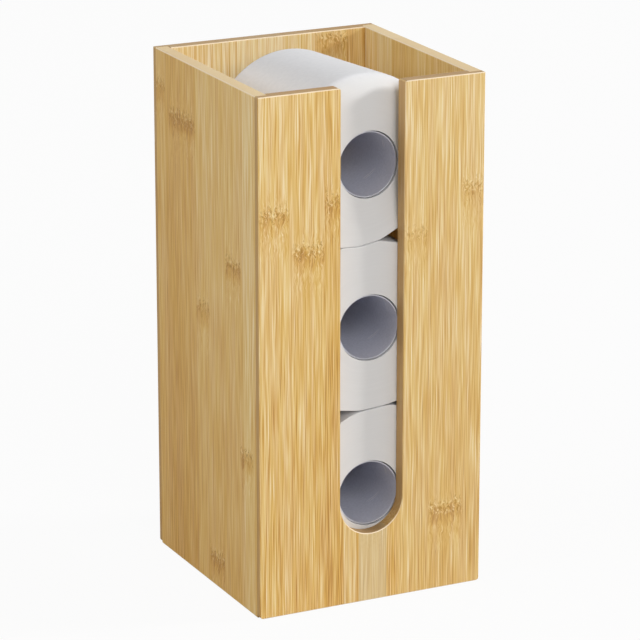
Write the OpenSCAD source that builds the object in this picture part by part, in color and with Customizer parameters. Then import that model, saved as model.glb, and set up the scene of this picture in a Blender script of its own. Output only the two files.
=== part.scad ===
// Toilet paper stand: a tall open box of bamboo boards that stands on the floor.
// Three rolls lie in it on their sides, one on another, with their cores facing front.
// A round-ended slot down the front board shows the cores and lets a hand push a roll up.
// The origin is on the floor under the middle of the box. Front is -Y, right is +X, up is +Z.

/* [Box] */
// Outside width of the box, left to right
box_w = 160; // [150:1:220]
// Outside depth of the box, front to back
box_d = 160; // [140:1:240]
// Height of the four walls above the floor
box_h = 345; // [200:1:600]
// Thickness of each wall board
wall_t = 9; // [6:0.5:12]
// Rounding that takes the sharpness off the boards' edges
edge_ease = 0.8; // [0.2:0.1:1.5]
// Rounding of the lower outside corners of the front and back boards
foot_corner_r = 3; // [1:0.5:8]

/* [Corner joints] */
// Thickness of the lip that the front and back boards keep over the side boards' ends
lip_t = 4.3; // [2:0.1:5.5]
// Thickness of the glue film in every joint
glue_t = 0.1; // [0.05:0.05:0.3]

/* [Base] */
// Thickness of the base board
base_t = 9; // [5:0.5:12]
// Height of the base board's underside above the floor
base_lift = 6.5; // [3:0.5:40]
// Depth of the groove in each wall that holds the base board's edge
groove_depth = 4; // [2:0.5:5]

/* [Finger slot] */
// Width of the slot in the front board
slot_w = 45; // [25:1:80]
// Height of the slot's round lower end above the floor
slot_bottom = 46.5; // [25:0.5:120]
// Rounding of the two corners where the slot meets the top edge
slot_corner_r = 2; // [0.5:0.5:6]
// Chamfer along the slot's front edge
slot_chamfer = 0.5; // [0.2:0.1:1.5]

/* [Paper rolls] */
// Diameter of a loose roll
roll_d = 116.6; // [90:0.2:120]
// Length of a roll along its core
roll_l = 98; // [80:1:110]
// Depth by which the bottom, middle and top roll are pressed in from below
squash_below = [3.3, 2.1, 3.4]; // [0.5:0.1:8]
// Depth by which the bottom and middle roll are pressed in from above
squash_above = [2.2, 6.4]; // [0.5:0.1:8]
// Radius of the fuller curve on a pressed side, as a multiple of the loose roll's radius
press_share = 1.28; // [1.1:0.02:1.6]
// Depth of the small flat along the middle of a pressed side
press_flat = 0.4; // [0.2:0.1:1]
// Rounding of a roll's two soft rims
roll_rim_r = 8; // [1:0.5:12]
// Clearance between a roll and what it rests on
rest_gap = 0.1; // [0.05:0.05:0.5]
// Clearance between the rolls and the front board
front_gap = 0.5; // [0.2:0.1:3]
// Distance by which the two lower rolls lie to the right of the middle
roll_shift = 2.8; // [-4:0.1:4]
// Share of the free width beside a roll that the top roll uses up by lying turned
turn_share = 0.27; // [0:0.01:0.9]

/* [Cardboard cores] */
// Outside diameter of a core
core_d = 43; // [30:0.5:50]
// Thickness of a core's cardboard wall
core_wall = 0.6; // [0.5:0.1:2]
// Clearance between a core and the paper wound on it
core_gap = 0.1; // [0.05:0.05:0.3]
// Depth by which a core's ends lie behind the ends of the roll
core_recess = 1.2; // [0.2:0.1:3]

/* [Hidden] */
$fn = 96;
// Overshoot of every cut past the surface that it opens
past = 1;

inner_w = box_w - 2 * wall_t;
inner_d = box_d - 2 * wall_t;
base_top = base_lift + base_t;
slot_r = slot_w / 2;
slot_centre_z = slot_bottom + slot_r;

roll_r = roll_d / 2;
core_r = core_d / 2;
press_r = roll_r * press_share;
roll_front_y = -inner_d / 2 + front_gap;
// Distance from each core's axis down to the flat below and up to the flat above
down_h = [for (depth = squash_below) roll_r - depth];
up_h = [for (depth = squash_above) roll_r - depth];
// Height of each core's axis above the floor
bottom_z = base_top + rest_gap + down_h[0];
middle_z = bottom_z + up_h[0] + rest_gap + down_h[1];
top_z = middle_z + up_h[1] + rest_gap + down_h[2];

// The top roll is turned about the vertical, with its back end to the left.
// Its front left rim just clears the front board, and it leaves equal gaps at both sides.
turn = asin(turn_share * (inner_w - roll_d) / roll_l);
turned_x = roll_l / 2 * sin(turn);
turned_y = roll_front_y + (roll_r - roll_rim_r) * sin(turn) + roll_rim_r * (1 - cos(turn));

bamboo_front = "#ddb976";
bamboo_side = "#c2a272";
bamboo_base = "#d8b67a";
tissue = "#e4e1de";
card = "#85828f";

// What a rounding of radius r takes off the corner of a square at the origin
module corner_notch(r) {
    difference() {
        translate([-past, -past]) square(r + past);
        translate([r, r]) circle(r);
    }
}

// Rectangle with a radius of its own at each corner, anticlockwise from the lower left one
module rounded_rect(w, h, radii) {
    corners = [[0, 0], [w, 0], [w, h], [0, h]];
    difference() {
        square([w, h]);
        for (i = [0 : 3])
            if (radii[i] > 0)
                translate(corners[i]) rotate(90 * i) corner_notch(radii[i]);
    }
}

// Lays a drawing of width (X) and height (Y) upright as a board that is t thick towards +Y
module upright(t) {
    rotate([90, 0, 0]) translate([0, 0, -t]) linear_extrude(t) children();
}

// Room for the base board's edges in the walls, a glue film larger all round
module base_groove() {
    groove_w = inner_w + 2 * (groove_depth + glue_t);
    groove_d = inner_d + 2 * (groove_depth + glue_t);
    translate([-groove_w / 2, -groove_d / 2, base_lift - glue_t])
        cube([groove_w, groove_d, base_t + 2 * glue_t]);
}

// Plan of the front board: a lip over its full width, and its full thickness between the sides
module end_board_plan() {
    shoulder_w = inner_w - 2 * glue_t;
    translate([-box_w / 2, 0]) rounded_rect(box_w, lip_t, [edge_ease, edge_ease, 0, 0]);
    translate([-shoulder_w / 2, lip_t / 2]) square([shoulder_w, wall_t - lip_t / 2]);
}

// Board for the front or the back, outside face towards -Y at y = 0, grooved for the base
module end_board() {
    eases = [edge_ease, edge_ease, edge_ease, edge_ease];
    corners = [foot_corner_r, foot_corner_r, edge_ease, edge_ease];
    difference() {
        intersection() {
            linear_extrude(box_h) end_board_plan();
            translate([-box_w / 2, -past, 0])
                upright(wall_t + 2 * past) rounded_rect(box_w, box_h, corners);
            translate([-box_w / 2 - past, 0, 0]) rotate([90, 0, 90])
                linear_extrude(box_w + 2 * past) rounded_rect(wall_t, box_h, eases);
        }
        translate([0, box_d / 2, 0]) base_groove();
    }
}

// The slot's outline, with the two rounded corners at its mouth
module slot_outline() {
    translate([0, slot_centre_z]) circle(slot_r);
    translate([-slot_r, slot_centre_z]) square([slot_w, box_h + past - slot_centre_z]);
    translate([-slot_r, box_h]) rotate(180) corner_notch(slot_corner_r);
    translate([slot_r, box_h]) rotate(270) corner_notch(slot_corner_r);
}

// What the chamfer along the slot's front edge takes away, from past the face inwards
module slot_chamfer_cut() {
    mouth_r = slot_r + slot_chamfer + past;
    plan = [[-mouth_r, -past], [mouth_r, -past], [slot_r, slot_chamfer], [-slot_r, slot_chamfer]];
    translate([0, 0, slot_centre_z]) {
        linear_extrude(box_h + past - slot_centre_z) polygon(plan);
        translate([0, -past, 0]) rotate([-90, 0, 0])
            cylinder(h = slot_chamfer + past, r1 = mouth_r, r2 = slot_r);
    }
}

module front_panel() {
    color(bamboo_front) translate([0, -box_d / 2, 0]) difference() {
        end_board();
        translate([0, -past, 0]) upright(wall_t + 2 * past) slot_outline();
        slot_chamfer_cut();
    }
}

module back_panel() {
    color(bamboo_front) rotate(180) translate([0, -box_d / 2, 0]) end_board();
}

// Board for the left or right side, between the lips, outside face towards -X at x = 0
module side_board() {
    side_l = box_d - 2 * (lip_t + glue_t);
    eases = [edge_ease, edge_ease, edge_ease, edge_ease];
    difference() {
        translate([0, -side_l / 2, 0]) upright(side_l) rounded_rect(wall_t, box_h, eases);
        translate([box_w / 2, 0, 0]) base_groove();
    }
}

module left_panel() {
    color(bamboo_side) translate([-box_w / 2, 0, 0]) side_board();
}

module right_panel() {
    color(bamboo_side) rotate(180) translate([-box_w / 2, 0, 0]) side_board();
}

module base_panel() {
    base_w = inner_w + 2 * groove_depth;
    base_d = inner_d + 2 * groove_depth;
    color(bamboo_base) translate([-base_w / 2, -base_d / 2, base_lift])
        cube([base_w, base_d, base_t]);
}

// Barrel whose curve a pressed side follows, with its lowest or highest line h from the axis
module press_barrel(side, h) {
    translate([0, -past, side * (press_r - h - press_flat)]) rotate([-90, 0, 0])
        cylinder(h = roll_l + 2 * past, r = press_r);
}

// Wound paper along +Y from y = 0, pressed in to below_h under its axis and to above_h over it.
// Without above_h its upper side stays round.
module roll_paper(below_h, above_h) {
    hole_r = core_r + core_gap;
    pressed_above = !is_undef(above_h);
    top_h = pressed_above ? above_h : roll_r + past;
    color(tissue) intersection() {
        rotate([-90, 0, 0]) rotate_extrude()
            translate([hole_r, 0])
                rounded_rect(roll_r - hole_r, roll_l, [0, roll_rim_r, roll_rim_r, 0]);
        translate([-roll_r - past, -past, -below_h])
            cube([roll_d + 2 * past, roll_l + 2 * past, below_h + top_h]);
        press_barrel(1, below_h);
        if (pressed_above) press_barrel(-1, above_h);
    }
}

// Cardboard tube in the middle of a roll, a little behind both of its ends
module roll_core() {
    core_l = roll_l - 2 * core_recess;
    color(card) translate([0, core_recess, 0]) rotate([-90, 0, 0]) difference() {
        cylinder(h = core_l, r = core_r);
        translate([0, 0, -past]) cylinder(h = core_l + 2 * past, r = core_r - core_wall);
    }
}

// Places a roll that lies square to the box, with its core's axis at height z
module at_height(z) {
    translate([roll_shift, roll_front_y, z]) children();
}

// Places the top roll, turned about the vertical
module at_top() {
    translate([turned_x, turned_y, top_z]) rotate(turn) children();
}

module bottom_roll_paper() { at_height(bottom_z) roll_paper(down_h[0], up_h[0]); }
module bottom_roll_core() { at_height(bottom_z) roll_core(); }
module middle_roll_paper() { at_height(middle_z) roll_paper(down_h[1], up_h[1]); }
module middle_roll_core() { at_height(middle_z) roll_core(); }
module top_roll_paper() { at_top() roll_paper(down_h[2]); }
module top_roll_core() { at_top() roll_core(); }

front_panel();
back_panel();
left_panel();
right_panel();
base_panel();
bottom_roll_paper();
bottom_roll_core();
middle_roll_paper();
middle_roll_core();
top_roll_paper();
top_roll_core();
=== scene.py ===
# %% [markdown]
# # A toilet paper stand of bamboo boards
# The stand is a tall open box of five glued boards, with three rolls lying in it one on another.
# The boards and the cardboard cores have their real shape already, so they get materials only.
# The wound paper is soft, so each roll of it is made here as a surface of its own.

# %% Load the frame
import math

import bpy
import numpy as np
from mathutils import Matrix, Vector


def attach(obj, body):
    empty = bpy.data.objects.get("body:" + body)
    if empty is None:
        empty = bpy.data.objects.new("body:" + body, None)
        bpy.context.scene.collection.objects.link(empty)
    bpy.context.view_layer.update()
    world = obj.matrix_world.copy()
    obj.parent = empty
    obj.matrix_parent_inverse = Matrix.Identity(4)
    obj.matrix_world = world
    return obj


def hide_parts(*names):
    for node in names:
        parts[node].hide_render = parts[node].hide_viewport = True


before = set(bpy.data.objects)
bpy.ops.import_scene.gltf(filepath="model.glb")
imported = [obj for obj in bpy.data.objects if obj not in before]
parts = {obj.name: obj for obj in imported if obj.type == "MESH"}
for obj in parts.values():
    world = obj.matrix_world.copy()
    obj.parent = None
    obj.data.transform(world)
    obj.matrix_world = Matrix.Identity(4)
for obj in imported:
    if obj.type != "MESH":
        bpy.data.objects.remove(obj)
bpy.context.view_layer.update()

MM = 0.001               # a millimetre in Blender's metres

# %% [markdown]
# ## The camera
# The view is from the left of the front and a little above, with a long lens, so that the
# upright edges stay almost parallel. Angles, distance and lens were fitted to the corners of
# the box. Aiming the camera by two angles and a distance keeps that fit readable.

# %% Camera
AZIMUTH, ELEVATION = -26.24, 17.22            # in degrees, from the front and above the floor
DISTANCE = 2345.16 * MM
TARGET = Vector((2.30 * MM, 0.0, 168.65 * MM))
SENSOR = 36.0                                 # width of the sensor, in millimetres
FOCAL_PIXELS, PICTURE_PIXELS = 3561.84, 640   # the lens in pixels, and the picture's width


def towards(azimuth, elevation):
    """Unit vector at an azimuth from the front and a height angle, in degrees: the flat part is
    the cosine of the height angle, split into sine and cosine of the azimuth."""
    a, e = math.radians(azimuth), math.radians(elevation)
    return Vector((math.sin(a) * math.cos(e), -math.cos(a) * math.cos(e), math.sin(e)))


def aim(thing, place, target):
    """Puts a camera or lamp at a place and turns its -Z axis to the target."""
    thing.location = place
    thing.rotation_euler = (Vector(target) - Vector(place)).to_track_quat("-Z", "Y").to_euler()


camera = bpy.data.objects.new("camera", bpy.data.cameras.new("camera"))
bpy.context.scene.collection.objects.link(camera)
camera.data.sensor_width = SENSOR
camera.data.lens = SENSOR * FOCAL_PIXELS / PICTURE_PIXELS
aim(camera, TARGET + DISTANCE * towards(AZIMUTH, ELEVATION), TARGET)
bpy.context.scene.camera = camera
print("lens", round(camera.data.lens, 1), "mm, camera at", [round(v, 3) for v in camera.location])

# %% [markdown]
# ## Helpers for materials
# Colours are written as sRGB hex, as they are read off a picture. Shaders reckon in linear
# light, so one function turns them. One more adds a node, sets its values and links it, which
# keeps each material short enough to read from top to bottom.

# %% Material helpers


def linear(code):
    """Linear RGBA of an sRGB hex colour: v/12.92 when dark, else ((v+0.055)/1.055)^2.4."""
    values = [int(code[i:i + 2], 16) / 255 for i in (1, 3, 5)]
    return [v / 12.92 if v <= 0.04045 else ((v + 0.055) / 1.055) ** 2.4 for v in values] + [1.0]


def node(tree, kind, inputs=(), **settings):
    """Adds a node with its settings. Inputs are a list by place or a dictionary by name or
    number; a node or socket among them is linked, and a value is set."""
    made = tree.nodes.new("ShaderNode" + kind)
    for key, value in settings.items():
        setattr(made, key, value)
    for key, value in (inputs.items() if isinstance(inputs, dict) else enumerate(inputs)):
        if isinstance(value, bpy.types.Node):
            value = value.outputs[0]
        if isinstance(value, bpy.types.NodeSocket):
            tree.links.new(value, made.inputs[key])
        else:
            made.inputs[key].default_value = value
    return made


def colour_stops(ramp, stops):
    """Sets a Color Ramp's stops from pairs of place and hex colour."""
    elements = ramp.color_ramp.elements
    while len(elements) < len(stops):
        elements.new(0.5)
    for element, (place, code) in zip(elements, stops):
        element.position, element.color = place, linear(code)
    return ramp


def blank_material(name):
    """A material with only its Principled shader. Returns it, its tree and the shader."""
    material = bpy.data.materials.new(name)
    material.use_nodes = True
    return material, material.node_tree, material.node_tree.nodes["Principled BSDF"]


print("bamboo's middle tone in linear light:", [round(v, 3) for v in linear("#ddb976")[:3]])

# %% [markdown]
# Three short chains of nodes come again and again: how far two numbers lie apart, a hump about
# zero, and a noise that is stretched into streaks. Each gets a name here.

# %% Chains of nodes that come again


def apart(tree, a, b):
    """How far two numbers lie apart: the absolute value of their difference."""
    difference = node(tree, "Math", [a, b], operation="SUBTRACT")
    return node(tree, "Math", [difference], operation="ABSOLUTE")


def hump(tree, value, reach):
    """One less the square of value over reach, and nothing where that falls below zero."""
    share = node(tree, "Math", [value, 1 / reach], operation="MULTIPLY")
    share = node(tree, "Math", [share, share], operation="MULTIPLY")
    return node(tree, "Math", [1.0, share], operation="SUBTRACT", use_clamp=True)


def streaks(tree, at, per_metre, detail=1.0):
    """Noise from 0 to 1, stretched: the place is multiplied by how many blotches lie on a metre
    of each axis, and the noise is read there."""
    stretched = node(tree, "VectorMath", [at, per_metre], operation="MULTIPLY")
    return node(tree, "TexNoise", {"Vector": stretched, "Scale": 1.0, "Detail": detail})


print("chains:", apart.__name__, hump.__name__, streaks.__name__)

# %% [markdown]
# ## Lacquered bamboo board
# Bamboo board is pressed from strips of cane, some 20 to 30 mm wide, glued side by side. Three
# things tell it from wood: straight strands less than a millimetre wide from cream to gold, a
# small change of tone from strip to strip, and the knuckles, where the cane's joints cross a
# strip as a ragged row of pale flecks with a darker patch under it.
# All of it is reckoned from Object coordinates, so the pattern lies in the board's substance.
# Noise that is stretched along Z gives strands on the faces and dots on the end grain at once.

# %% The knuckle of a strip, as a node group
ROW_REACH = 6.0 * MM                           # half height of the row of flecks
PATCH_TOP, PATCH_FULL = 3 * MM, -1 * MM        # where the darker patch starts, over the row
PATCH_FADES, PATCH_END = -3 * MM, -17 * MM     # and where it fades and ends, under it
WAVE_MIDDLE, WAVE_REACH = -9 * MM, 24 * MM     # where strands part, and half the height of that
SIDE_ENDS, SIDE_FULL = 1.12, 0.76              # a knuckle's soft side, as shares of half its width


def knuckle_group():
    """Group that says how strongly a point belongs to one knuckle. Row is a narrow hump over the
    height, Shade a patch that starts at the row and fades downwards, Wave a wider hump. All
    three end at the sides of the strip."""
    tree = bpy.data.node_groups.new("knuckle", "ShaderNodeTree")
    for name in ("Across", "Along", "Centre Across", "Centre Along", "Half Width"):
        tree.interface.new_socket(name, in_out="INPUT", socket_type="NodeSocketFloat")
    for name in ("Row", "Shade", "Wave"):
        tree.interface.new_socket(name, in_out="OUTPUT", socket_type="NodeSocketFloat")
    across, along, centre_across, centre_along, half = tree.nodes.new("NodeGroupInput").outputs[:5]
    side = node(tree, "Math", [apart(tree, across, centre_across), half], operation="DIVIDE")
    inside = node(tree, "MapRange", [side, SIDE_ENDS, SIDE_FULL, 0.0, 1.0],
                  interpolation_type="SMOOTHSTEP")
    rise = node(tree, "Math", [along, centre_along], operation="SUBTRACT")
    start = node(tree, "MapRange", [rise, PATCH_TOP, PATCH_FULL, 0.0, 1.0])
    fade = node(tree, "MapRange", [rise, PATCH_END, PATCH_FADES, 0.0, 1.0],
                interpolation_type="SMOOTHSTEP")
    patch = node(tree, "Math", [start, fade], operation="MULTIPLY")
    lower = node(tree, "Math", [rise, -WAVE_MIDDLE], operation="ADD")
    made = tree.nodes.new("NodeGroupOutput").inputs
    heights = (hump(tree, rise, ROW_REACH), patch, hump(tree, lower, WAVE_REACH))
    for socket, height in zip(made, heights):
        both = node(tree, "Math", [height, inside], operation="MULTIPLY")
        tree.links.new(both.outputs[0], socket)
    return tree


KNUCKLE = knuckle_group()
print("knuckle group with", len(KNUCKLE.nodes), "nodes")

# %% [markdown]
# The board's material uses that group once for each of its knuckles, at places in millimetres.
# A knuckle isn't a clean line: each bundle of strands ends it at a height of its own.

# %% Where the knuckles of a board lie
BUNDLES = 380.0          # bundles of strands on a metre
RAGGED = 5.0 * MM        # how far up or down a bundle ends a knuckle
JITTER_SHIFT = 0.7       # how far one step of the seed moves that noise


def knuckle_marks(tree, over, along, seed, knuckles):
    """Row, Shade and Wave of a whole board: each is the sum over its knuckles, times their
    strength, at a height that a noise across the board moves up and down."""
    jitter_at = node(tree, "CombineXYZ", [over, seed * JITTER_SHIFT, 0.0])
    jitter = node(tree, "TexNoise", {"Vector": jitter_at, "Scale": BUNDLES, "Detail": 2.0})
    jitter = node(tree, "MapRange", [jitter, 0.3, 0.7, -RAGGED, RAGGED])
    ragged = node(tree, "Math", [along, jitter], operation="ADD")
    totals = [0.0, 0.0, 0.0]
    for centre, height, half, strength in knuckles:
        one = node(tree, "Group", [over, ragged, centre * MM, height * MM, half * MM],
                   node_tree=KNUCKLE)
        totals = [node(tree, "Math", [mark, strength, total], operation="MULTIPLY_ADD")
                  for mark, total in zip(one.outputs, totals)]
    return totals


print("a bundle is", round(1000 / BUNDLES, 1), "mm wide")

# %% [markdown]
# Strands run straight, waver by a fraction of a millimetre, and part at a knuckle. So the place
# at which they are read is moved aside by two noises, the stronger one only near a knuckle.

# %% The place at which strands are read
DRIFT_PER_METRE, DRIFT = (150, 150, 28), 0.7 * MM       # the slow wavering of all strands
SWIRL_PER_METRE, SWIRL = (320, 320, 170), 2.0 * MM      # and their parting at a knuckle
SEED_SHIFT = (0.31, 0.17)                               # metres for one step of the seed


def strand_place(tree, solid, axes, wave, seed):
    """Place for the strands as a vector of across, through and along, and its across alone: the
    place in the board, moved across by the drift plus the swirl times the knuckles' wave."""
    over, through, along = axes
    drift = streaks(tree, solid, DRIFT_PER_METRE)
    drift = node(tree, "MapRange", [drift, 0.0, 1.0, -DRIFT, DRIFT])
    swirl = streaks(tree, solid, SWIRL_PER_METRE, detail=2.0)
    swirl = node(tree, "MapRange", [swirl, 0.0, 1.0, -SWIRL, SWIRL])
    moved = node(tree, "Math", [swirl, wave, drift], operation="MULTIPLY_ADD")
    bent = node(tree, "Math", [over, moved], operation="ADD")
    at = node(tree, "CombineXYZ", [bent, through, along])
    shift = [seed * step for step in SEED_SHIFT] + [0]
    return node(tree, "VectorMath", [at, shift], operation="ADD"), bent


print("strands waver by", DRIFT / MM, "mm and part by", SWIRL / MM, "mm")

# %% [markdown]
# A noise has broad blotches in it beside its fine ones. Less the same noise a strand and a half
# aside, the broad ones cancel and fine strands are left. About a knuckle they turn to feathers.

# %% Fine strands
STRAND = 0.6 * MM        # width of the strands that show
STRAND_RUN = 38 * MM     # length over which a strand keeps its tone
FEATHER_RUN = 7 * MM     # the same for the feathers about a knuckle
ASIDE = (1.5, 1.5, 0)    # how many strands aside the noise is that is taken off
FEATHERY = 0.6           # share of feathers where a knuckle's wave is full


def strands(tree, at, wave):
    """Strands as numbers about a half: 0.6 times the difference of the two noises plus a half,
    mixed with feathers by the knuckles' wave."""
    fine_at = node(tree, "VectorMath", [at, (1 / STRAND, 1 / STRAND, 1 / STRAND_RUN)],
                   operation="MULTIPLY")
    next_at = node(tree, "VectorMath", [fine_at, ASIDE], operation="ADD")
    here, next_one = (node(tree, "TexNoise", {"Vector": place, "Scale": 1.0, "Detail": 1.0})
                      for place in (fine_at, next_at))
    fine = node(tree, "Math", [here, next_one], operation="SUBTRACT")
    fine = node(tree, "Math", [fine, 0.6, 0.5], operation="MULTIPLY_ADD")
    feathers = streaks(tree, at, (1 / STRAND, 1 / STRAND, 1 / FEATHER_RUN))
    share = node(tree, "Math", [wave, FEATHERY], operation="MULTIPLY")
    return node(tree, "Mix", {0: share, 2: fine, 3: feathers})


print("strands", STRAND / MM, "mm wide keep their tone for", STRAND_RUN / MM, "mm")

# %% [markdown]
# Each strip of cane comes from another place of another cane, so it has a tone of its own. It
# meets the next strip along a fine glue line.

# %% Strips of cane and their glue lines
STRIP = 23.5 * MM                       # width of a strip
LINE_STARTS, LINE_FULL = 0.482, 0.496   # the glue line, in strip widths from a strip's middle
LINE_DEPTH = 0.12                       # how much darker in tone it is


def strip_tones(tree, over, seed, strip_start):
    """A random tone for each strip's number, and the darkness of the glue line. The place across
    over the width of a strip has the number as its whole part; the line is where its fraction
    is farthest from a half."""
    strip = node(tree, "Math", [over, -strip_start * MM], operation="ADD")
    strip = node(tree, "Math", [strip, 1 / STRIP], operation="MULTIPLY")
    number = node(tree, "Math", [strip], operation="FLOOR")
    number = node(tree, "Math", [number, seed], operation="ADD")
    tone = node(tree, "TexWhiteNoise", {"W": number}, noise_dimensions="1D")
    line = apart(tree, node(tree, "Math", [strip], operation="FRACT"), 0.5)
    line = node(tree, "MapRange", [line, LINE_STARTS, LINE_FULL, 0.0, LINE_DEPTH])
    return tone, line


print("strips", STRIP / MM, "mm wide")

# %% [markdown]
# The tone of a point is one number from dark to pale: strands, slow bands and strips about a
# half, less glue lines and the knuckles' patches, a little paler towards the top of the cane.

# %% The tone of the cane
BAND, BAND_RUN = 2.6 * MM, 140 * MM         # width and length of the slow bands of tone
FINE_WEIGHT, SLOW_WEIGHT, STRIP_WEIGHT = 2.1, 0.18, 0.14
PATCH_WEIGHT = 0.28                         # how much darker a knuckle's patch is
PALER_FROM, PALER_TO, PALER_UP = 60 * MM, 300 * MM, 0.14   # paler in tone by 0.14 between them
STRIP_SIDE = 0.6                            # soft side of a chosen strip, in millimetres
TONE_SCALE = 0.8                            # leaves room in the ramps above the palest tone


def cane_tone(tree, axes, at, fine, shade, seed, contrast, strip_start, strips):
    """Tone and share of olive. The tone is a weighted sum of noises about a half, less the glue
    lines and the patches, plus what each chosen strip adds inside its half width."""
    over, _, along = axes
    slow = streaks(tree, at, (1 / BAND, 1 / BAND, 1 / BAND_RUN))
    strip_tone, line = strip_tones(tree, over, seed, strip_start)
    weights = ((fine, FINE_WEIGHT * contrast), (slow, SLOW_WEIGHT * contrast),
               (strip_tone, STRIP_WEIGHT))
    tone = 0.5 - sum(weight for _, weight in weights) / 2
    for value, weight in weights + ((line, -1.0), (shade, -PATCH_WEIGHT)):
        tone = node(tree, "Math", [value, weight, tone], operation="MULTIPLY_ADD")
    paler = node(tree, "MapRange", [along, PALER_FROM, PALER_TO, -PALER_UP / 2, PALER_UP / 2])
    tone = node(tree, "Math", [tone, paler], operation="ADD")
    olive = 0.0
    for centre, half, change, share in strips:
        inside = node(tree, "MapRange", [apart(tree, over, centre * MM), half * MM,
                                         (half - STRIP_SIDE) * MM, 0.0, 1.0])
        tone = node(tree, "Math", [inside, change, tone], operation="MULTIPLY_ADD")
        olive = node(tree, "Math", [inside, share, olive], operation="MULTIPLY_ADD")
    return node(tree, "Math", [tone, TONE_SCALE], operation="MULTIPLY"), olive


print("weights of strands, bands and strips:", FINE_WEIGHT, SLOW_WEIGHT, STRIP_WEIGHT)

# %% [markdown]
# The same tone reads as a golden or a rosier colour, from bundle to bundle, and a few strips
# have a share of olive. A knuckle's row has slanting pale dashes and dark pits in it.

# %% From tone to colour
GOLD = [(0.0, "#b58238"), (0.224, "#d1a250"), (0.4, "#ddb566"), (0.576, "#e7c886"),
        (0.8, "#f2deae"), (1.0, "#f9ebc4")]
ROSE = [(0.0, "#ae7f4a"), (0.224, "#cb9c63"), (0.4, "#dcb47e"), (0.576, "#e8ca9b"),
        (0.8, "#f3dfbd"), (1.0, "#faecd2")]
OLIVE_CANE, PALE_FLECK, DARK_PIT = "#cfbf9a", "#f2dda8", "#ab8038"
HUE_BAND, HUE_PER_METRE = 3.5 * MM, 12.0      # width of a rosy bundle, and blotches up a metre
SLANT_PER_METRE, SLANT = (300, 300, 330), 2.6 * MM
FLECK_WIDTH, FLECK_RUN = 0.9 * MM, 3.0 * MM
PIT_DEPTH = 0.85                              # how dark a pit is, as a share of its colour
PALE_PART, PIT_PART = (0.54, 0.64), (0.48, 0.36)      # parts of the noise that are flecks, pits
ROSY_PART, ROSY_SHARE = (0.4, 0.62), (0.05, 0.4)      # and how much rose which part brings


def cane_colour(tree, tone, olive, at):
    """Gold and rose read off the tone, mixed by a slow noise, then mixed with olive."""
    gold, rose = (colour_stops(node(tree, "ValToRGB", [tone]), stops) for stops in (GOLD, ROSE))
    hue = streaks(tree, at, (1 / HUE_BAND, 1 / HUE_BAND, HUE_PER_METRE))
    hue = node(tree, "MapRange", [hue, *ROSY_PART, *ROSY_SHARE])
    colour = node(tree, "MixRGB", [hue, gold, rose])
    return node(tree, "MixRGB", [olive, colour, linear(OLIVE_CANE)])


def flecked(tree, colour, row, at, bent, axes, flecks):
    """The colour with a knuckle's flecks and pits, which are the high and the low parts of one
    noise, read at a place that a second noise slants, times the knuckles' rows."""
    _, through, along = axes
    slant = streaks(tree, at, SLANT_PER_METRE)
    slant = node(tree, "MapRange", [slant, 0.0, 1.0, -SLANT, SLANT])
    slanted = node(tree, "Math", [bent, slant], operation="ADD")
    fleck_at = node(tree, "CombineXYZ", [slanted, through, along])
    fleck = streaks(tree, fleck_at, (1 / FLECK_WIDTH, 1 / FLECK_WIDTH, 1 / FLECK_RUN))
    for part, depth, code in ((PALE_PART, flecks, PALE_FLECK), (PIT_PART, PIT_DEPTH, DARK_PIT)):
        share = node(tree, "MapRange", [fleck, *part, 0.0, depth])
        share = node(tree, "Math", [share, row], operation="MULTIPLY", use_clamp=True)
        colour = node(tree, "MixRGB", [share, colour, linear(code)])
    return colour


print("flecks", FLECK_WIDTH / MM, "by", FLECK_RUN / MM, "mm")

# %% [markdown]
# Where a face is an edge of the board, seen from its normal, it has a tone of its own. It is
# browner where the saw cuts across or beside the strips and the lacquer soaks in deeper, and
# pale on top of the side boards. The eased corners between face and end grain get a painted
# highlight, a paler colour where they would catch the light.
# Then the lacquer: satin, and smooth over the strands, which still stand out by a few
# hundredths of a millimetre.

# %% The board's material
# painted highlight: the paler colour the eased corners get where they would catch the light
ARRIS_HIGHLIGHT = "#f7e6cb"
EDGE_BROWN, TOP_BROWN = "#ac8552", "#987243"
EDGE_SHARE = 0.75        # how much of an edge's own tone shows
LACQUER_IOR, LACQUER_SHINE = 1.5, 0.35
LACQUER_ROUGH = (0.48, 0.58)     # roughness over the dark and the pale strands
LACQUER_RELIEF, RELIEF_STRENGTH = 0.06 * MM, 0.2


def edged(tree, colour, normal, across, top, arris):
    """The colour with the long edges, the end grain and a painted highlight on the arrises laid
    over it. Each share is read off the size of the normal's parts: beside the width, upwards,
    and for an arris upwards times facing."""
    normal = node(tree, "SeparateXYZ", [normal])
    beside, upward, facing = (node(tree, "Math", [normal.outputs[i]], operation="ABSOLUTE")
                              for i in (across, 2, 1 - across))
    eased = node(tree, "Math", [upward, facing], operation="MULTIPLY")
    beside = node(tree, "MapRange", [beside, 0.55, 0.9, 0.0, EDGE_SHARE])
    upward = node(tree, "MapRange", [upward, 0.7, 0.95, 0.0, EDGE_SHARE])
    eased = node(tree, "MapRange", [eased, 0.1, 0.4, 0.0, arris])
    # the last share lays the painted highlight on the arrises
    for share, code in ((beside, EDGE_BROWN), (upward, top), (eased, ARRIS_HIGHLIGHT)):
        colour = node(tree, "MixRGB", [share, colour, linear(code)])
    return colour


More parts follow.
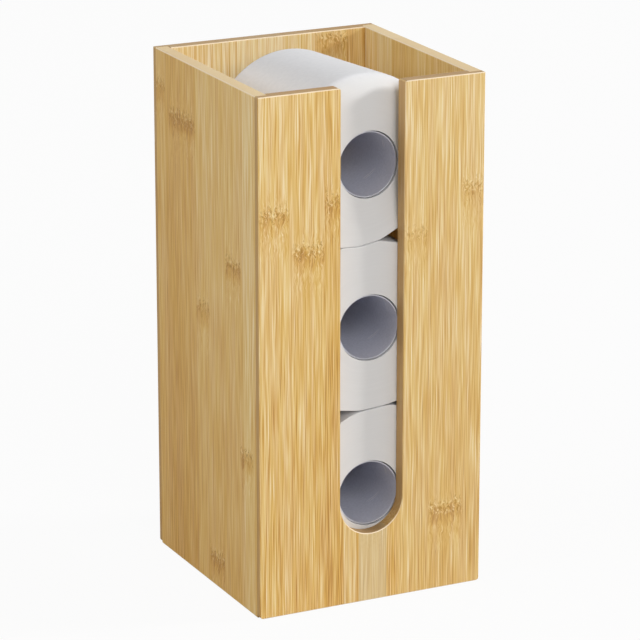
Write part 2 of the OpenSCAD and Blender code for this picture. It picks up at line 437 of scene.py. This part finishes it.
def bamboo(name, across, seed, knuckles, contrast=1.0, strip_start=0.0, strips=(),
           top=TOP_BROWN, arris=0.0, flecks=0.8):
    """Material of one board, made of the steps above in turn. across is the axis over its width,
    0 for X or 1 for Y. knuckles are centre, height, half width and strength, strips are centre,
    half width, change of tone and share of olive, in millimetres; top is the colour of the end
    grain, arris how strong the painted highlight on the eased corners is, flecks how pale a
    knuckle's flecks are."""
    material, tree, shader = blank_material(name)
    place = node(tree, "TexCoord")
    solid = place.outputs["Object"]
    split = node(tree, "SeparateXYZ", [solid])
    axes = split.outputs[across], split.outputs[1 - across], split.outputs[2]
    row, shade, wave = knuckle_marks(tree, axes[0], axes[2], seed, knuckles)
    at, bent = strand_place(tree, solid, axes, wave, seed)
    fine = strands(tree, at, wave)
    tone, olive = cane_tone(tree, axes, at, fine, shade, seed, contrast, strip_start, strips)
    colour = cane_colour(tree, tone, olive, at)
    colour = flecked(tree, colour, row, at, bent, axes, flecks)
    colour = edged(tree, colour, place.outputs["Normal"], across, top, arris)
    tree.links.new(colour.outputs[0], shader.inputs["Base Color"])
    rough = node(tree, "MapRange", [fine, 0.3, 0.7, *LACQUER_ROUGH])
    tree.links.new(rough.outputs[0], shader.inputs["Roughness"])
    bump = node(tree, "Bump", {"Strength": RELIEF_STRENGTH, "Distance": LACQUER_RELIEF,
                               "Height": fine})
    tree.links.new(bump.outputs[0], shader.inputs["Normal"])
    shader.inputs["IOR"].default_value = LACQUER_IOR
    shader.inputs["Specular IOR Level"].default_value = LACQUER_SHINE
    return material


print("relief of the lacquer:", LACQUER_RELIEF / MM, "mm")

# %% [markdown]
# The front and the left board show in the picture, so their knuckles lie where they lie there.
# The side boards have quieter grain. On the others the places are chosen, no two alike.

# %% Dress the boards
# the last of these is how strongly the painted highlight on the eased corners shows
SIDE_TOP, SIDE_CONTRAST, ARRIS_HIGHLIGHT_SHARE = "#e4cda3", 0.75, 0.8


def dress(part, material):
    """Gives a board or core of the frame its material in place of the plain one."""
    mesh = parts[part].data
    mesh.materials.clear()
    mesh.materials.append(material)


dress("front_panel", bamboo("lacquered_bamboo_front", 0, 3.0, [
    (-69, 269, 10.5, 1.0), (-45, 243, 11.5, 1.0), (-28, 273, 6, 0.8), (31, 245, 9, 0.5),
    (72, 272, 8.5, 0.8), (54, 56, 13, 0.9), (1, 41, 10, 0.1)], strip_start=-57,
    strips=[(1, 10.5, 0.08, 0.5), (-15.5, 5, 0.22, 0.12), (50, 30, 0.02, 0.1)],
    arris=ARRIS_HIGHLIGHT_SHARE))
dress("left_panel", bamboo("lacquered_bamboo_left", 1, 11.0, [
    (35, 307, 21, 1.1), (70, 322, 9, 0.8), (-42, 228, 12, 1.1), (4.6, 188, 11, 0.9),
    (-61, 106, 10, 1.0), (-15, 21, 12, 1.1)], contrast=SIDE_CONTRAST, strip_start=14.5,
    strips=[(-65, 8.5, 0.16, 0.0), (47, 33, -0.1, 0.0)], top=SIDE_TOP, arris=ARRIS_HIGHLIGHT_SHARE,
    flecks=0.4))
# The right board's paler strip at its back end is partly painted light: besides its own tone it
# lifts the inside of the board there, which lies in shade.
dress("right_panel", bamboo("lacquered_bamboo_right", 1, 23.0, [
    (-52, 262, 11, 0.7), (-6, 301, 12, 0.7), (30, 128, 12, 0.7), (58, 236, 11, 0.6),
    (-28, 47, 11, 0.7)], contrast=SIDE_CONTRAST, strip_start=-17,
    strips=[(52, 20, 0.16, 0.0), (-9, 8, 0.1, 0.0)], top=SIDE_TOP, arris=ARRIS_HIGHLIGHT_SHARE,
    flecks=0.5))
# The back board's paler strips are partly painted light: besides their own tone, the two over its
# left half stand in for the light that falls on the inside of the back there.
dress("back_panel", bamboo("lacquered_bamboo_back", 0, 37.0, [
    (46, 340, 12, 0.9), (-30, 290, 12, 0.9), (-62, 214, 11, 0.8), (22, 176, 12, 0.9),
    (66, 91, 11, 0.8), (-8, 66, 12, 0.8)], contrast=0.95, strip_start=34,
    strips=[(-52, 28, 0.26, 0.0), (-6, 18, 0.32, 0.0), (23, 11, 0.2, 0.0)],
    arris=ARRIS_HIGHLIGHT_SHARE))
dress("base_panel", bamboo("lacquered_bamboo_base", 0, 51.0, [], strip_start=5))
print("bamboo on 5 boards; nodes in the front one:",
      len(bpy.data.materials["lacquered_bamboo_front"].node_tree.nodes))

# %% [markdown]
# ## Wound paper
# A roll of tissue is soft: its rims are round, its sides give way where another roll presses,
# and nothing on it is quite true. A cylinder with bevels would look turned on a lathe. So each
# roll is one closed surface on a grid: one way runs round the roll, the other goes out over the
# front face, along the outside, in over the back face and through the bore. The distance from
# the axis to the outside is worked out first, as a function of the angle, and all else hangs on
# it.

# %% The outline of a roll
ROLL_R, ROLL_L, BORE_R = 58.3 * MM, 98.0 * MM, 22.1 * MM
TURNS = 288                    # points round a roll
WIDE_OFF = 0.15                # least cosine for which a flat still counts
HOLLOW_BLEND, FLAT_BLEND = 0.2 * MM, 0.35 * MM   # how softly flats meet, and meet the round


def soft_min(a, b, blend):
    """The smaller of two arrays with its corner rounded: -blend * log(exp(-a/blend) +
    exp(-b/blend)), reckoned from the smaller one so that nothing overflows."""
    low = np.minimum(a, b)
    return low - blend * np.log1p(np.exp(-np.abs(a - b) / blend))


def flat_side(angle, facing, depth):
    """Distance from the axis to a flat that faces a direction, in degrees: its depth over the
    cosine of the angle off it. Where the cosine is small it is a metre, which is as good as
    none."""
    off = np.cos(angle - math.radians(facing))
    seen = off > WIDE_OFF
    return np.where(seen, depth / np.where(seen, off, 1.0), 1.0)


def outline(angle, half_width, sides, aside=0.0):
    """Distance from the axis to the outside at each angle. The form is an oval that lies a
    little aside of the axis: c + sqrt(r^2 - aside^2 + c^2) with c = aside * cosine. Each side
    cuts it back. A side of one flat is pressed flat; of two, the larger distance counts, which
    is a hollow where a rounder roll lies in it."""
    oval = 1 / np.sqrt((np.cos(angle) / half_width)**2 + (np.sin(angle) / ROLL_R)**2)
    c = aside * np.cos(angle)
    radius = c + np.sqrt(oval**2 - aside**2 + c**2)
    for flats in sides:
        reach = flat_side(angle, *flats[0])
        for flat in flats[1:]:
            reach = -soft_min(-reach, -flat_side(angle, *flat), HOLLOW_BLEND)
        radius = soft_min(radius, reach, FLAT_BLEND)
    return radius


turn_angles = np.arange(TURNS) * 2 * math.pi / TURNS
sample = outline(turn_angles, ROLL_R, [[(-90, 55 * MM)]])
print("a roll pressed from below, in mm: least", round(sample.min() / MM, 1),
      "most", round(sample.max() / MM, 1))

# %% [markdown]
# The second direction of the grid is a closed profile. It is written as a share of the way from
# the bore to the outside, and a place along the roll. The rims are quarter ellipses, tight
# where a roll is pressed and full where it is free, and the mouth of the bore is eased a little.

# %% The profile of a roll
RIM, PRESSED_RIM = 13 * MM, 0.8 * MM        # how far in a rim starts, free and pressed
RIM_STEPS, FACE_STEPS, SIDE_STEPS = 14, 22, 30


def profile(rim, lip=0.25 * MM, bluntness=0.75):
    """Points of the closed profile as three grids of rows by turns: distance along the roll,
    whether the radius is counted from the bore (0) or the outside (1), and what is added to that
    radius. rim is how far in the rim starts at each angle, a row; each stretch is a column beside
    it. A rim is a quarter of an ellipse, whose depth along the roll is bluntness times that."""
    arc = np.linspace(0, math.pi / 2, RIM_STEPS)[:, None]
    face = np.linspace(0, 1, FACE_STEPS)[1:-1]
    face = np.concatenate([[0.006, 0.02], face, [0.98, 0.994]])[:, None]
    side = np.linspace(0, 1, SIDE_STEPS)[1:-1, None]
    out, drop, deep = lip - face * (rim + lip), 1 - np.sin(arc), bluntness * rim
    stretches = [
        (lip * drop, 0, lip * (1 - np.cos(arc))), (0 * face, face, out),
        (deep * (1 - np.cos(arc)), 1, -rim * drop),
        (deep + (ROLL_L - 2 * deep) * side, 1, 0 * side),
        (ROLL_L - deep * drop, 1, -rim * (1 - np.cos(arc))),
        (ROLL_L + 0 * face, face[::-1], out[::-1]),
        (ROLL_L - lip * (1 - np.cos(arc)), 0, lip * drop),
        (ROLL_L - lip - (ROLL_L - 2 * lip) * side, 0, 0 * side)]
    grids = [np.broadcast_arrays(*stretch, rim)[:3] for stretch in stretches]
    return [np.concatenate(column) for column in zip(*grids)]


print("grid of a roll:", profile(np.full((1, TURNS), RIM))[0].shape)

# %% [markdown]
# A grid that closes both ways has no edge and no pole, so every corner of it is used by four
# quads. Numbers of the points, rolled by one along each way, give all the quads at once.

# %% From grid to mesh


def closed_mesh(name, points, uv, material):
    """Mesh of a grid that closes both ways. points is rows x turns x 3. Each quad joins a point
    with the next of its row and of the next row; the order makes the faces look outwards."""
    rows, turns = points.shape[:2]
    index = np.arange(rows * turns).reshape(rows, turns)
    right, down = np.roll(index, -1, 1), np.roll(index, -1, 0)
    corner = np.roll(down, -1, 1)
    quads = np.stack([index, right, corner, down], -1).reshape(-1, 4)
    a, b, c = (points.reshape(-1, 3)[quads[:, i]] for i in (0, 1, 2))
    if np.einsum("ij,ij->i", a, np.cross(b, c)).sum() < 0:
        quads = quads[:, ::-1]
    mesh = bpy.data.meshes.new(name)
    mesh.from_pydata(points.reshape(-1, 3).tolist(), [], quads.tolist())
    layer = mesh.uv_layers.new(name="winding")
    layer.data.foreach_set("uv", uv.reshape(-1, 2)[quads.reshape(-1)].astype("f").ravel())
    mesh.materials.append(material)
    mesh.polygons.foreach_set("use_smooth", np.ones(len(quads), bool))
    mesh.update()
    made = bpy.data.objects.new(name, mesh)
    bpy.context.scene.collection.objects.link(made)
    return made


ORDERS, PHASES, SLANTS = 6, (0, 6.28), (-2, 2)   # phases go once round, in radians


def waves(seed, shape_a, shape_b):
    """Smooth unevenness from -1 to 1 over two grids of angles: cosines of the first orders with
    seeded phases and slants, each over its order, and their sum over the sum of those weights."""
    rng = np.random.default_rng(seed)
    total = 0
    for order in range(1, ORDERS + 1):
        total = total + np.cos(order * shape_a + rng.uniform(*PHASES)
                               + rng.uniform(*SLANTS) * shape_b) / order
    return total / sum(1 / order for order in range(1, ORDERS + 1))


print("unevenness at the first angles:", waves(1, turn_angles, 0.0)[:3].round(2))

# %% [markdown]
# ## Tissue
# Tissue is loose fibre that scatters nearly all the light that falls on it and has no gloss. The
# outside shows one soft sheet. The faces show the cut edges of hundreds of sheets, so close that
# only a faint streak along the winding is left. One passes into the other over the rim, so the
# share of each is read from how far the surface faces along the roll.

# %% The tissue's material
SHEET_PER_METRE, CUT_PER_METRE = (350, 350, 1), (12, 900, 1)
WRINKLE_RUN, WRINKLE_WIDTH, WRINKLE_SLANT = 40 * MM, 6 * MM, 32     # the slant in degrees
SHEET = [(0.3, "#e2e2e4"), (0.7, "#e7e7e9")]
CUT_EDGES = [(0.3, "#dfdedd"), (0.7, "#e1e0df")]
SHEET_RELIEF, WRINKLE_RELIEF, CUT_RELIEF = 0.05, 0.9, 0.008         # shares of the full relief
TISSUE_RELIEF = 0.33 * MM
RIM_PART = (0.3, 0.98)           # parts of the normal along the roll where sheet turns to edges
TISSUE_ROUGH, TISSUE_SHINE, TISSUE_SHEEN, SHEEN_ROUGH = 0.95, 0.2, 0.06, 0.6


def wound_tissue():
    """Matt white paper. Its streaks lie in the roll's own UV map, in metres round the roll and
    along the profile: the sheet has soft blotches and slanting wrinkles some 6 mm wide and 40 mm
    long, the cut edges have fine streaks along the winding. The share of cut edges grows smoothly
    with the part of the normal that points along the roll."""
    material, tree, shader = blank_material("wound_tissue_paper")
    place = node(tree, "UVMap", uv_map="winding")
    sheet = streaks(tree, place, SHEET_PER_METRE, detail=3.0)
    cut = streaks(tree, place, CUT_PER_METRE, detail=3.0)
    slanted = node(tree, "Mapping", {
        "Vector": place, "Rotation": (0, 0, math.radians(WRINKLE_SLANT)),
        "Scale": (1 / WRINKLE_RUN, 1 / WRINKLE_WIDTH, 1)})
    wrinkle = node(tree, "TexNoise", {"Vector": slanted, "Scale": 1.0, "Detail": 1.0})

    normal = node(tree, "SeparateXYZ", [node(tree, "TexCoord").outputs["Normal"]])
    facing = node(tree, "Math", [normal.outputs[1]], operation="ABSOLUTE")
    facing = node(tree, "MapRange", [facing, *RIM_PART, 0.0, 1.0],
                  interpolation_type="SMOOTHSTEP")
    outside = colour_stops(node(tree, "ValToRGB", [sheet]), SHEET)
    edges = colour_stops(node(tree, "ValToRGB", [cut]), CUT_EDGES)
    colour = node(tree, "MixRGB", [facing, outside, edges])
    tree.links.new(colour.outputs[0], shader.inputs["Base Color"])

    smooth = node(tree, "Math", [1.0, facing], operation="SUBTRACT")
    wrinkled = node(tree, "Math", [wrinkle, WRINKLE_RELIEF], operation="MULTIPLY")
    height = node(tree, "Math", [sheet, SHEET_RELIEF, wrinkled], operation="MULTIPLY_ADD")
    height = node(tree, "Math", [height, smooth], operation="MULTIPLY")
    height = node(tree, "Math", [cut, CUT_RELIEF, height], operation="MULTIPLY_ADD")
    bump = node(tree, "Bump", {"Strength": 1.0, "Distance": TISSUE_RELIEF, "Height": height})
    tree.links.new(bump.outputs[0], shader.inputs["Normal"])
    shader.inputs["Roughness"].default_value = TISSUE_ROUGH
    shader.inputs["Specular IOR Level"].default_value = TISSUE_SHINE
    shader.inputs["Sheen Weight"].default_value = TISSUE_SHEEN
    shader.inputs["Sheen Roughness"].default_value = SHEEN_ROUGH
    return material


TISSUE = wound_tissue()
print("tissue with streaks", round(1000 / CUT_PER_METRE[1], 1), "mm apart on the faces")

# %% [markdown]
# ## The three rolls
# The two lower rolls lie square to the box. The top one lies turned, with its back end to the
# left. Where two rolls meet, both get nearly the same line, so that they touch and don't press
# into each other by more than a hair: the rounder one keeps its curve as flats in a row, and
# the softer one gets a hollow.

# %% Make the rolls
FRONT_Y = -70.5 * MM           # plane of the rolls' faces, just behind the front board
CENTRES = {"bottom": (2.8 * MM, FRONT_Y, 70.6 * MM), "middle": (2.8 * MM, FRONT_Y, 183.0 * MM),
           "top": (3.429 * MM, -66.96 * MM, 289.9 * MM)}       # where each axis meets its face
TOP_TURN = math.radians(4.013)
BORE_OFF = (0.42 * MM, -0.08 * MM)   # the bore is slightly wide, so the core lies aside in it
PRESS_ENDS, PRESS_SOFT = 0.91, 0.25  # cosine where a flat's tight rim ends, and how softly
SIDE_UNEVEN, FACE_UNEVEN = 0.2 * MM, 0.25 * MM
SUNK = 0.9                           # keeps nearly all unevenness under the true radius
FACE_WAVES = 400                     # radians of unevenness on a metre of radius


def wound_roll(name, body, replaced, centre, sides, turn=0.0, skew=0.0, aside=0.0,
               half_width=ROLL_R, seed=1):
    """One roll of paper. A point is the centre, plus its radius times cosine and sine of the
    angle in X and Z, plus its place along the roll in Y, turned about the upright. The outside
    leans over by skew from front to back. The lower sheets of a turned roll have slid forwards,
    the lowest ones until they lie in the plane of the other rolls' faces."""
    angle = turn_angles[None, :]
    outside = outline(angle, half_width, sides, aside)
    free = np.ones_like(angle)
    for facing, depth in (flat for flats in sides for flat in flats):
        off = np.cos(angle - math.radians(facing))
        free = free * np.clip((PRESS_ENDS - off) / PRESS_SOFT, 0, 1)
    y, share, add = profile(PRESSED_RIM + (RIM - PRESSED_RIM) * free)
    along = y / ROLL_L
    outside = outside + free * SIDE_UNEVEN * (waves(seed, angle, 3 * along) - SUNK)
    radius = BORE_R + share * (outside - BORE_R) + add
    uneven = FACE_UNEVEN * waves(seed + 50, angle, FACE_WAVES * radius)
    uneven = uneven * np.sin(math.pi * share)
    y = y + np.where(along < 0.5, np.abs(uneven), -np.abs(uneven))
    x = radius * np.cos(angle) - skew * along * share + (1 - share) * BORE_OFF[0]
    z = radius * np.sin(angle) + (1 - share) * BORE_OFF[1]
    c, s = math.cos(turn), math.sin(turn)
    slide = np.minimum((FRONT_Y - centre[1] - s * x) / c, 0)
    y = y + slide * share * np.clip(-np.sin(angle), 0, 1) * np.clip(1 - along, 0, 1)
    points = np.stack([centre[0] + c * x - s * y, centre[1] + s * x + c * y, centre[2] + z], -1)
    length = np.concatenate([[0], np.hypot(np.diff(y[:, 0]), np.diff(radius[:, 0]))]).cumsum()
    uv = np.stack(np.broadcast_arrays(angle * ROLL_R, length[:, None]), -1)
    made = closed_mesh(name, points, uv, TISSUE)
    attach(made, body)
    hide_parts(replaced)
    return made


rolls = [
    wound_roll("bottom_roll_winding", "bottom_roll", "bottom_roll_paper",
               CENTRES["bottom"], [[(-90, 55.0 * MM)], [(95.7, 56.7 * MM)]],
               aside=8 * MM, seed=4),
    wound_roll("middle_roll_winding", "middle_roll", "middle_roll_paper",
               CENTRES["middle"],
               [[(-98.5, 55.8 * MM)], [(-85.4, 54.7 * MM)], [(-76.9, 55.6 * MM)],
                [(99.9, 55.0 * MM), (87.6, 54.3 * MM)], [(78.1, 57.2 * MM)]], seed=9),
    wound_roll("top_roll_winding", "top_roll", "top_roll_paper",
               CENTRES["top"],
               [[(-92.4, 52.4 * MM)], [(-80.1, 49.9 * MM)], [(-63.6, 47.4 * MM)]],
               turn=TOP_TURN, skew=8.5 * MM, half_width=56.8 * MM, seed=14),
]
for roll in rolls:
    places = np.array([v.co for v in roll.data.vertices]) / MM
    print(roll.name, len(roll.data.polygons), "quads, box in mm",
          places.min(0).round(1).tolist(), places.max(0).round(1).tolist())

# %% [markdown]
# ## Cardboard cores
# A core is a tube of grey board, wound on a slant from a strip some 60 mm wide. Its seam runs
# round it as a helix and shows in places only, where the glue has pulled the edge in. The angle
# round the core's axis plus the place along it gives that helix. The ends are paler, where the
# board is cut.

# %% Grey board
PITCH = 62 * MM                            # how far the seam goes along the core in one turn
SEAM_PHASE = 0.22                          # where it starts, as a share of a turn
SEAM_FULL, SEAM_ENDS = 0.014, 0.02         # the pale seam, in pitches from its middle
GROOVE_FULL, GROOVE_ENDS = 0.004, 0.008    # and the dark groove in it
GLUED_SCALE, FIBRE_SCALE = 65.0, 700.0     # blotches on a metre
BOARD = [(0.3, "#c5c7d4"), (0.7, "#cfd1de")]
SEAM_PALE, GROOVE_DARK, CUT_END = "#e6e6ee", "#bcbdc9", "#d0d0d8"
BOARD_ROUGH, BOARD_RELIEF, BOARD_STRENGTH = 0.85, 0.06 * MM, 0.4
FIBRE_SHARE = 0.6                          # height of the fibres against that of the seam


def grey_board(name, centre, turn):
    """Material of a core with its axis through a centre. Its phase is the angle over a whole
    turn plus the place along the axis over the pitch; the seam is where the phase's fraction
    passes a half, and a noise hides stretches of it."""
    material, tree, shader = blank_material(name)
    place = node(tree, "TexCoord")
    local = node(tree, "Mapping", {"Vector": place.outputs["Object"], "Location": centre,
                                   "Rotation": (0, 0, turn)}, vector_type="TEXTURE")
    split = node(tree, "SeparateXYZ", [local])
    angle = node(tree, "Math", [split.outputs[2], split.outputs[0]], operation="ARCTAN2")
    angle = node(tree, "Math", [angle, 1 / (2 * math.pi)], operation="MULTIPLY")
    phase = node(tree, "Math", [split.outputs[1], 1 / PITCH, angle], operation="MULTIPLY_ADD")
    phase = node(tree, "Math", [phase, SEAM_PHASE], operation="ADD")
    off = apart(tree, node(tree, "Math", [phase], operation="FRACT"), 0.5)
    glued = node(tree, "TexNoise", {"Vector": local, "Scale": GLUED_SCALE, "Detail": 1.0})
    glued = node(tree, "MapRange", [glued, 0.4, 0.5, 0.0, 1.0])
    fibre = node(tree, "TexNoise", {"Vector": local, "Scale": FIBRE_SCALE, "Detail": 3.0})
    colour = colour_stops(node(tree, "ValToRGB", [fibre]), BOARD)
    seam, groove = (
        node(tree, "Math", [node(tree, "MapRange", [off, full, ends, 1.0, 0.0]), glued],
             operation="MULTIPLY")
        for full, ends in ((SEAM_FULL, SEAM_ENDS), (GROOVE_FULL, GROOVE_ENDS)))
    end = node(tree, "SeparateXYZ", [place.outputs["Normal"]])
    end = node(tree, "Math", [end.outputs[1]], operation="ABSOLUTE")
    end = node(tree, "MapRange", [end, 0.6, 0.9, 0.0, 1.0])
    for share, code in ((seam, SEAM_PALE), (groove, GROOVE_DARK), (end, CUT_END)):
        colour = node(tree, "MixRGB", [share, colour, linear(code)])
    tree.links.new(colour.outputs[0], shader.inputs["Base Color"])
    height = node(tree, "Math", [fibre, FIBRE_SHARE, seam], operation="MULTIPLY_ADD")
    bump = node(tree, "Bump", {"Strength": BOARD_STRENGTH, "Distance": BOARD_RELIEF,
                               "Height": height})
    tree.links.new(bump.outputs[0], shader.inputs["Normal"])
    shader.inputs["Roughness"].default_value = BOARD_ROUGH
    return material


for level, centre in CENTRES.items():
    turn = TOP_TURN if level == "top" else 0.0
    dress(level + "_roll_core", grey_board("grey_board_" + level, centre, turn))
print("grey board on", len(CENTRES), "cores")

# %% [markdown]
# ## Light and floor
# The picture has the soft even light of a studio: nearly no shadow, and the front clearly
# brighter than the left side. The sky and a white floor send light back from all sides. The key
# lamp stands far round to the right, so that the slot's right edge shades most of the rolls'
# faces; one soft lamp fills the front and one the left side. They stand well off, so that a
# roll that is lifted out gets hardly more light than the box, and at a plain level, so that a
# colour renders about as it is written. Seen directly, the sky has a strength of 1, which is
# white, and the floor is lifted nearly to white for the camera only, and keeps a trace of the
# box's shadow.

# %% Sky
SKY = 0.31               # strength of the sky as a light

world = bpy.data.worlds.new("studio")
bpy.context.scene.world = world
world.use_nodes = True
sky_tree = world.node_tree
path = node(sky_tree, "LightPath")
seen = node(sky_tree, "Math", [path.outputs["Is Camera Ray"], path.outputs["Is Glossy Ray"]],
            operation="MAXIMUM")
seen = node(sky_tree, "Math", [seen, path.outputs["Is Transmission Ray"]], operation="MAXIMUM")
strength = node(sky_tree, "MapRange", [seen, 0.0, 1.0, SKY, 1.0])
background = sky_tree.nodes["Background"]
background.inputs["Color"].default_value = (1, 1, 1, 1)
sky_tree.links.new(strength.outputs[0], background.inputs["Strength"])
print("sky of strength", SKY)

# %% [markdown]
# Each lamp is a square of soft light, set by the direction it comes from. A lamp twice as far
# off needs four times the power for the same light, and its light falls off less on the way up.

# %% Lamps
MIDDLE = Vector((0, 0, 0.17))     # middle of the box, in metres
LAMPS = {                         # azimuth, height angle, distance and width in metres, watts
    "key": (71, 22, 6.0, 1.0, 230),
    "front fill": (-2, 28, 7.0, 3.2, 174),
    "side fill": (-88, 33, 7.0, 4.0, 158)}


def softbox(name, azimuth, elevation, distance, size, power):
    """Square area lamp at an azimuth and height angle, aimed at the middle of the box."""
    lamp = bpy.data.objects.new(name, bpy.data.lights.new(name, "AREA"))
    bpy.context.scene.collection.objects.link(lamp)
    lamp.data.size, lamp.data.energy = size, power
    aim(lamp, MIDDLE + distance * towards(azimuth, elevation), MIDDLE)
    return lamp


lamps = [softbox(name, *settings) for name, settings in LAMPS.items()]
print("lamps:", [lamp.name for lamp in lamps])

# %% [markdown]
# The floor is painted a light grey, so that it sends about as much light up as a studio floor.
# For the camera only, most of it is mixed with plain white light, so that it meets the sky.

# %% Floor
FLOOR_REACH = 8                   # half its width, in metres
FLOOR_PAINT, FLOOR_ROUGH = 0.6, 0.9
FLOOR_LIFT = 0.94                 # share of plain white that the camera sees

square = ((-1, -1), (1, -1), (1, 1), (-1, 1))
corners = [(x * FLOOR_REACH, y * FLOOR_REACH, 0) for x, y in square]
floor_mesh = bpy.data.meshes.new("floor")
floor_mesh.from_pydata(corners, [], [(0, 1, 2, 3)])
floor = bpy.data.objects.new("floor", floor_mesh)
bpy.context.scene.collection.objects.link(floor)
white, floor_tree, paint = blank_material("white_studio_floor")
paint.inputs["Base Color"].default_value = (FLOOR_PAINT, FLOOR_PAINT, FLOOR_PAINT, 1)
paint.inputs["Roughness"].default_value = FLOOR_ROUGH
floor_path = node(floor_tree, "LightPath")
glow = node(floor_tree, "Emission", {"Color": (1, 1, 1, 1), "Strength": 1.0})
lift = node(floor_tree, "Math", [floor_path.outputs["Is Camera Ray"], FLOOR_LIFT],
            operation="MULTIPLY")
blend = node(floor_tree, "MixShader", [lift, paint.outputs[0], glow])
floor_tree.links.new(blend.outputs[0], floor_tree.nodes["Material Output"].inputs["Surface"])
floor_mesh.materials.append(white)

bpy.context.scene.view_settings.view_transform = "Standard"
print("floor of", 2 * FLOOR_REACH, "metres, and", len(lamps), "lamps")
